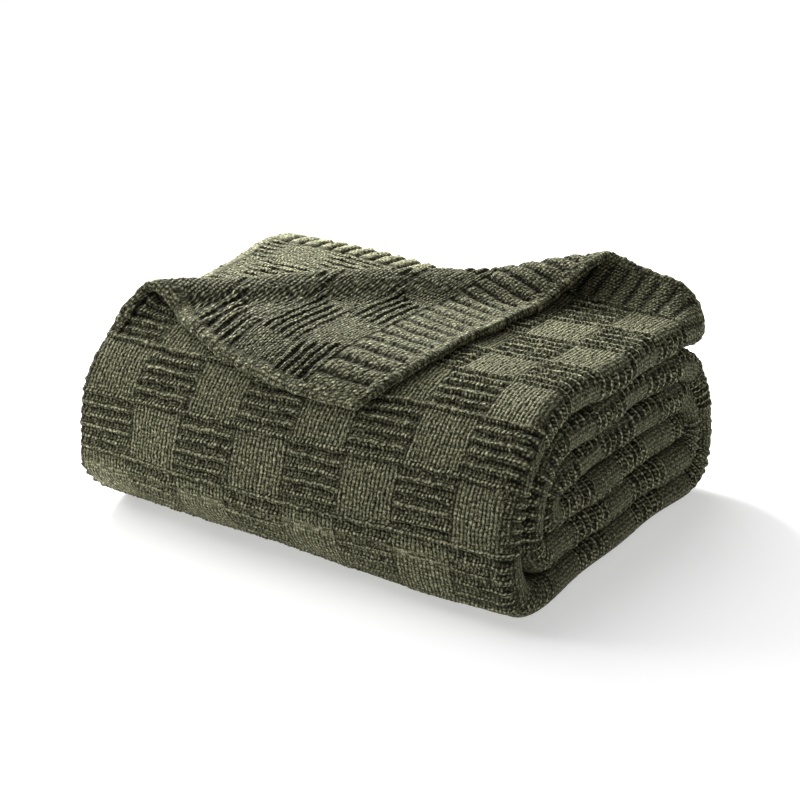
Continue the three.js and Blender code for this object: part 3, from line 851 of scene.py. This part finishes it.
def outer_ply_pieces():
    """Right side of the outer ply, from hem to foot, the part of it that is out of sight,
    and its wrong side where the corner is turned back, with the rim of its selvedge and
    hem."""
    left, along = -STRIP_WIDTH / 2, (-HEM_OVERRUN, FOOT_LENGTH)
    x, v, xx, vv = cloth_grid(left, FOLD_END, *along, FINE_X, FINE_V)
    middle = outer_ply(xx, vv)
    cloth = knit_face(xx, vv)
    cloth[..., 0] *= ease(middle[..., 2], 2, 12)
    points = raised(middle, cloth[..., 0])
    seen = faces_where(~under_corner(xx, vv, SEEN_MARGIN))
    brow_from, brow_to = (int(np.searchsorted(v, cut)) for cut in (BROW_START, BROW_END))
    for name, start, end in (
        ("outer_ply_top", 0, brow_from),
        ("outer_ply_brow", brow_from, brow_to),
        ("outer_ply_front", brow_to, len(v) - 1),
    ):
        part = slice(start, end + 1)
        piece = keep_piece(grid_mesh(name, points[part], cloth[part], keep=seen[start:end]))

    x, v, xx, vv = cloth_grid(left, FOLD_X, *along, HIDDEN_STEP, HIDDEN_STEP)
    points = raised(outer_ply(xx, vv), 0 * xx)
    hidden = faces_where(under_corner(xx, vv, HIDDEN_MARGIN))
    piece = keep_piece(grid_mesh("outer_ply_covered", points, knit(0, 0.5, 0, xx, vv), keep=hidden))

    x, v, xx, vv = cloth_grid(left, FOLD_END, *along, CORNER_STEP, CORNER_STEP)
    _, w = beside_crest(xx, vv)
    pull_x, pull_v = np.interp(w, PULL_W, PULL_ACROSS), np.interp(vv, PULL_V, PULL_ALONG)
    pulled = knit_back(xx, vv, pull_x, pull_v, CORNER_RIBS, 0)
    points, cloth = rimmed(outer_ply(xx, vv), -1, pulled, knit_face(xx, vv))
    turned = past_curl(xx, vv, CORNER_OVERLAP)
    corner = grid_mesh("turned_corner", points, cloth, keep=with_rim(turned, points), flip=True)
    keep_piece(corner)


def second_ply_piece():
    """Wrong side of the second ply, which shows behind the turned corner."""
    x, v, xx, vv = cloth_grid(
        -STRIP_WIDTH / 2, FOLD_X, SECOND_START, FOOT_LENGTH, SECOND_STEP, SECOND_STEP,
    )
    inset = SECOND_INSET * ease(vv, 40, 90) * (1 - ease(xx, -STRIP_WIDTH / 2, 0))
    middle = place(xx + inset, line_at(vv), 0 * xx + PLY / 2)
    cloth = knit_back(xx, vv, SECOND_ACROSS, SECOND_ALONG, SECOND_RIBS, SECOND_PAINTED_LIGHT)
    points, cloth = rimmed(middle, 1, cloth, knit(0, 0.4, 0, xx, vv))
    bare = past_curl(xx, vv, SECOND_OVERLAP)
    piece = keep_piece(grid_mesh("second_ply", points, cloth, keep=with_rim(bare, points)))


def side_profile(top, fine):
    """Left end of the strip's section, from its face down to its underside: a half circle
    for each of the loose plies that it has, and one for the fold below them. Returns how
    far in from the end the points lie, and their heights."""
    inset, height = [], []

    def half_round(low, high):
        count = max(4, round((high - low) * math.pi / 2 / fine))
        angle = np.linspace(math.pi / 2, -math.pi / 2, count)
        radius = (high - low) / 2
        inset.extend(radius * (1 - np.cos(angle)))
        height.extend((low + high) / 2 + radius * np.sin(angle))

    if top > PLY:
        half_round(PLY, 2 * PLY)
    if top > 0:
        half_round(0, PLY)
    half_round(-2 * PLY, 0)
    return np.array(inset), np.array(height)


def wound_piece(name, lengths, face_columns, top):
    """A stretch of the wound strip as a tube: its face at height top, the round fold at its
    right end, its underside, and the fold and selvedges at its left end."""
    at = line_at(lengths[:, None])
    # the left end wanders too, though less and out of step with the right one
    left = -STRIP_WIDTH / 2 + 0.6 * wander(at["middle"] + 200)
    right = right_end(at) - HALF
    share = np.linspace(0, 1, face_columns)[None, :]
    # the face from left to right
    inset, heights = side_profile(top, EDGE_STEP)
    face_u = mix(left + inset[0], right, share)
    face_n = np.full_like(face_u, top)
    # the fold, the underside and the left end
    turn = np.linspace(0, math.pi, FOLD_POINTS)[None, 1:-1]
    radius = (top + HALF) / 2
    fold_u = right + radius * np.sin(turn)
    fold_n = 0 * right + (top - HALF) / 2 + radius * np.cos(turn)
    under_u = np.hstack([right, 0 * right, left + HALF / 2])
    under_n = np.full_like(under_u, -HALF)
    edge_u = left + inset[None, ::-1]
    edge_n = 0 * left + heights[None, ::-1]
    u = np.hstack([face_u, fold_u, under_u, edge_u[:, 1:-1]])
    n = np.hstack([face_n, fold_n, under_n, edge_n[:, 1:-1]])
    edge_steps = np.full_like(edge_u[:, 1:-1], EDGE_STEP)
    x = np.hstack([
        mix(-STRIP_WIDTH / 2 + 0 * left, FOLD_X, share), FOLD_X + radius * turn + 0 * right,
        np.full_like(under_u, 0), -STRIP_WIDTH / 2 - np.cumsum(edge_steps, axis=1),
    ])
    v = lengths[:, None] + 0 * x
    base = place(u, at, n)
    # ridges die down near the floor, on the inner side of a tight bend, and where the tube
    # turns a sharp corner or lies under the outer ply
    slack = np.clip(1.25 * (at["radius"] + n) / (at["radius"] + HALF), 0, 1)
    cloth = knit_face(x, v)
    still = np.ones(u.shape[1])
    fold_from = face_columns + fold_u.shape[1]
    still[fold_from:fold_from + 3] = 0
    if top < HALF:
        still[:fold_from] = 0
    else:
        still[0] = 0
    cloth[..., 0] *= ease(base[..., 2], 2, 12) * slack * still
    padded = np.concatenate([base[:, -1:], base, base[:, :1]], axis=1)
    normal = grid_normals(padded)[:, 1:-1]
    points = base + normal * cloth[..., :1]
    piece = keep_piece(grid_mesh(name, points, cloth, wrap=True))


def hem_rolls(name, length, overhang, offsets):
    """The rolled hems at an end of the strip: for every ply a rope along the strip, a circle
    carried across it, drawn in to a point at both ends."""
    u = np.linspace(-STRIP_WIDTH / 2, FOLD_X + HEM_ROLL, ROPE_COLUMNS)[:, None]
    turn = np.linspace(0, 2 * math.pi, ROPE_SIDES, endpoint=False)[None, :]
    from_end = np.minimum(u - u[0], u[-1] - u)
    drawn_in = (1 - from_end / HEM_ROLL) ** 2 * (from_end < HEM_ROLL)
    radius = HEM_ROLL * np.sqrt(np.clip(1 - drawn_in, 0, 1))
    ropes = []
    for number, offset in enumerate(offsets):
        along = length + overhang * radius * np.cos(turn)
        points = place(u, line_at(along), offset + radius * np.sin(turn))
        shade = ROLLED_SHADE + 0.12 * roll_lumps(u + 31 * number, HEM_ROLL * turn)
        cloth = knit(0, shade, ROLLED_PURL, u + 0 * turn, length + HEM_ROLL * turn + 0 * u)
        rope = grid_mesh(f"{name}_{number + 1}", points, cloth, wrap=True, flip=overhang > 0)
        ropes.append(keep_piece(rope))
    return ropes


outer_ply_pieces()
second_ply_piece()
free_hems = hem_rolls("inner_hem", 0, -1, [-PLY / 2, -3 * PLY / 2])
core_hems = hem_rolls("core_hem", CORE_LENGTH, 1, [-3 * PLY / 2, -PLY / 2, PLY / 2, 3 * PLY / 2])
# each stretch starts a little before the last one ends
plies = np.arange(0, FOOT_LENGTH + 1, PLIES_STEP)
under = np.arange(FOOT_LENGTH - 6, BACK_FOOT_LENGTH, HIDDEN_STEP)
back = np.arange(BACK_FOOT_LENGTH - 0.5, BACK_TOP_LENGTH, BACK_STEP)
inner = np.append(np.arange(BACK_TOP_LENGTH - 1, CORE_LENGTH, INNER_STEP), CORE_LENGTH)
wound_piece("inner_plies", plies, HIDDEN_COLUMNS, 0)
wound_piece("wound_underside", under, UNDERSIDE_COLUMNS, HALF)
wound_piece("wound_back", back, BACK_COLUMNS, HALF)
wound_piece("inner_turns", inner, CORE_COLUMNS, HALF)


# Finish

# Shades of the yarn, from painted shade at the bottom of a groove to painted light on the
# tip of the pile, and how much of that range the stitches and the fuzz take
YARN_RAMP_WITH_PAINTED_SHADE = [
    (0.08, "020301"), (0.3, "0e0f08"), (0.5, "434431"), (0.71, "86856a"), (0.93, "c8c7a4"),
]
STITCH_SHADE = 0.8
STITCH_MIDDLE = 0.66
FUZZ_SHADE = 0.72
FUZZ_MIDDLE = 1.2

# Patterns of the pile, as blobs to the metre, and the widest wobble of a stitch and the
# height of the stitches and the pile, in metres
WOBBLE_SCALE = 500.0
LUMP_SCALE = 420.0
TUFT_SCALE = 900.0
DYE_SCALE = 22.0
WOBBLE = 0.0018
STITCH_RELIEF = 0.0006


def linear(colour):
    """sRGB hex, such as 5b5e45, to linear RGBA."""
    values = [int(colour[k:k + 2], 16) / 255 for k in (0, 2, 4)]
    return [v / 12.92 if v <= 0.04045 else ((v + 0.055) / 1.055) ** 2.4 for v in values] + [1]


def add_node(tree, kind, settings=None, inputs=None):
    """Add a node, set its properties, and set or link its inputs by name or number."""
    node = tree.nodes.new(kind)
    for key, value in (settings or {}).items():
        setattr(node, key, value)
    for key, value in (inputs or {}).items():
        if isinstance(value, bpy.types.NodeSocket):
            tree.links.new(value, node.inputs[key])
        else:
            node.inputs[key].default_value = value
    return node


def chenille_knit():
    """Olive green chenille: a soft tufted yarn, matt, with painted light where its pile tops
    the stitches and painted shade, nearly black-green, down in the grooves. The stitches
    that the mesh only hints at are drawn from the same formulas, with tufts over them."""
    material = bpy.data.materials.new("olive_chenille_knit")
    material.use_nodes = True
    tree = material.node_tree
    tree.nodes.clear()
    spot = add_node(tree, "ShaderNodeUVMap", {"uv_map": "cloth"}).outputs["UV"]
    # every stitch is bent and shifted, mostly by less than half a millimetre
    wobble = add_node(tree, "ShaderNodeTexNoise", None,
                      {"Vector": spot, "Scale": WOBBLE_SCALE, "Detail": 1.0})
    shift = add_node(tree, "ShaderNodeVectorMath", {"operation": "MULTIPLY_ADD"},
                     {0: wobble.outputs["Color"], 1: (WOBBLE, WOBBLE, 0),
                      2: (-WOBBLE / 2, -WOBBLE / 2, 0)})
    bent = add_node(tree, "ShaderNodeVectorMath", {"operation": "ADD"},
                    {0: spot, 1: shift.outputs[0]})
    axes = add_node(tree, "ShaderNodeSeparateXYZ", None, {0: bent.outputs[0]}).outputs
    # lumps 2.4 mm across, tufts 1.1 mm across and slow differences of dye 45 mm across
    lumps = add_node(tree, "ShaderNodeTexNoise", None,
                     {"Vector": spot, "Scale": LUMP_SCALE, "Detail": 1.0})
    tufts = add_node(tree, "ShaderNodeTexNoise", None,
                     {"Vector": spot, "Scale": TUFT_SCALE, "Detail": 3.0, "Roughness": 0.6})
    patches = add_node(tree, "ShaderNodeTexNoise", None,
                       {"Vector": spot, "Scale": DYE_SCALE, "Detail": 2.0})
    value = {
        "x": axes["X"], "v": axes["Y"],
        "lumps": lumps.outputs["Fac"], "tufts": tufts.outputs["Fac"],
        "shade": add_node(tree, "ShaderNodeAttribute", {"attribute_name": "shade"}).outputs["Fac"],
        "purl": add_node(tree, "ShaderNodeAttribute", {"attribute_name": "purl"}).outputs["Fac"],
    }
    full = 2 * math.pi
    middle = -FUZZ_MIDDLE * FUZZ_SHADE - STITCH_SHADE * STITCH_MIDDLE
    for name, operation, *terms in (
        ("wales", "DIVIDE", "x", WALE * MM),
        ("courses", "DIVIDE", "v", COURSE * MM),
        # plain stitches: distance from the middle of the wale, legs and dome
        ("half_wale", "PINGPONG", "wales", 0.5),
        ("across", "MULTIPLY", "half_wale", 2.0),
        ("leg_turn", "MULTIPLY_ADD", "across", 0.7, "courses"),
        ("leg_angle", "MULTIPLY", "leg_turn", full),
        ("leg_wave", "COSINE", "leg_angle"),
        ("legs", "MULTIPLY_ADD", "leg_wave", 0.12, 0.88),
        ("cubed", "POWER", "across", 3.0),
        ("gap", "MULTIPLY_ADD", "lumps", 2.4, 0.2),
        ("pits", "MULTIPLY_ADD", "leg_wave", 0.45, 0.55),
        ("groove", "MULTIPLY", "cubed", "pits"),
        ("hollow", "MULTIPLY", "groove", "gap"),
        ("dome", "SUBTRACT", 1.0, "hollow"),
        ("plain", "MULTIPLY", "dome", "legs"),
        # purl stitches: place in the row, slant, lump and row
        ("row", "FRACT", "courses"),
        ("count", "FLOOR", "courses"),
        ("odd", "FLOORED_MODULO", "count", 2.0),
        ("stagger", "MULTIPLY_ADD", "odd", 0.5, "wales"),
        ("slant", "MULTIPLY_ADD", "row", 0.35, "stagger"),
        ("lump_angle", "MULTIPLY", "slant", full),
        ("lump_wave", "COSINE", "lump_angle"),
        ("lump", "MULTIPLY_ADD", "lump_wave", 0.22, 0.78),
        ("row_angle", "MULTIPLY", "row", math.pi),
        ("row_wave", "SINE", "row_angle"),
        ("row_dome", "SQRT", "row_wave"),
        ("bumps", "MULTIPLY", "row_dome", "lump"),
        # one or the other, the fuzz of the pile, and with the mesh's shade the whole
        ("more", "SUBTRACT", "bumps", "plain"),
        ("stitch", "MULTIPLY_ADD", "more", "purl", "plain"),
        ("fuzz", "MULTIPLY_ADD", "tufts", 1.4, "lumps"),
        ("texture", "MULTIPLY_ADD", "fuzz", FUZZ_SHADE, middle),
        ("detail", "MULTIPLY_ADD", "stitch", STITCH_SHADE, "texture"),
        ("level", "ADD", "shade", "detail"),
        ("height", "MULTIPLY_ADD", "fuzz", 0.7, "stitch"),
    ):
        inputs = {k: value.get(term, term) for k, term in enumerate(terms)}
        value[name] = add_node(tree, "ShaderNodeMath", {"operation": operation}, inputs).outputs[0]
    # the ramp paints shade into the pits, grooves and low pile, and light onto the domes and tufts
    ramp = add_node(tree, "ShaderNodeValToRGB", None, {"Fac": value["level"]})
    while len(ramp.color_ramp.elements) < len(YARN_RAMP_WITH_PAINTED_SHADE):
        ramp.color_ramp.elements.new(0.5)
    for element, (position, colour) in zip(ramp.color_ramp.elements, YARN_RAMP_WITH_PAINTED_SHADE):
        element.position = position
        element.color = linear(colour)
    dye = add_node(tree, "ShaderNodeMapRange", None,
                   {"Value": patches.outputs["Fac"], "To Min": 0.85, "To Max": 1.15})
    tone = add_node(tree, "ShaderNodeHueSaturation", None,
                    {"Color": ramp.outputs["Color"], "Value": dye.outputs["Result"]})
    bump = add_node(tree, "ShaderNodeBump", None,
                    {"Height": value["height"], "Strength": 1.0, "Distance": STITCH_RELIEF})
    shader = add_node(tree, "ShaderNodeBsdfPrincipled", None,
                      {"Base Color": tone.outputs["Color"],
                       "Roughness": 0.95, "Specular IOR Level": 0.15,
                       "Sheen Weight": 0.4, "Sheen Roughness": 0.5, "Sheen Tint": linear("b4b592"),
                       "Normal": bump.outputs["Normal"]})
    add_node(tree, "ShaderNodeOutputMaterial", None, {"Surface": shader.outputs["BSDF"]})
    return material


yarn = chenille_knit()
for piece in pieces:
    piece.data.materials.append(yarn)


# Floor and light: the floor's size in metres, the light that it gives back by itself and
# the light from all round
FLOOR_SIZE = 60
FLOOR_GLOW = 0.49
SKY_STRENGTH = 0.21


def studio():
    """A plain pale floor, and soft light from the upper left, a little behind."""
    bpy.ops.mesh.primitive_plane_add(size=FLOOR_SIZE, location=(0, 0, 0))
    floor = bpy.context.object
    floor.name = "floor"
    paper = bpy.data.materials.new("pale_floor")
    paper.use_nodes = True
    shader = paper.node_tree.nodes["Principled BSDF"]
    shader.inputs["Base Color"].default_value = linear("d3d3d3")
    shader.inputs["Roughness"].default_value = 0.9
    shader.inputs["Specular IOR Level"].default_value = 0.1
    shader.inputs["Emission Color"].default_value = linear("ffffff")
    shader.inputs["Emission Strength"].default_value = FLOOR_GLOW
    floor.data.materials.append(paper)
    for name, kind, spot, aim, spread, power in (
        ("daylight", "SUN", (-1.05, 0.42, 1.4), (0, 0, 0), ("angle", math.radians(60)), 2.4),
        ("window", "AREA", (-0.8, 0.5, 0.62), (0, 0, 0.05), ("size", 0.35), 33),
        ("side_panel", "AREA", (-0.6, -0.38, 0.46), (-0.14, -0.1, 0.06), ("size", 0.25), 2.4),
    ):
        data = bpy.data.lights.new(name, kind)
        data.energy = power
        setattr(data, *spread)
        lamp = bpy.data.objects.new(name, data)
        bpy.context.collection.objects.link(lamp)
        toward = np.array(spot) - np.array(aim)
        back = toward / np.linalg.norm(toward)
        side = np.cross([0, 0, 1], back)
        side /= np.linalg.norm(side)
        top = np.cross(back, side)
        rows = [[float(axis[k]) for axis in (side, top, back, spot)] for k in range(3)]
        lamp.matrix_world = Matrix(rows + [[0, 0, 0, 1]])
    world = bpy.data.worlds.new("studio")
    bpy.context.scene.world = world
    world.use_nodes = True
    sky = world.node_tree.nodes["Background"]
    sky.inputs["Color"].default_value = linear("ffffff")
    sky.inputs["Strength"].default_value = SKY_STRENGTH
    bpy.context.scene.view_settings.view_transform = "Standard"


studio()
bpy.context.view_layer.update()
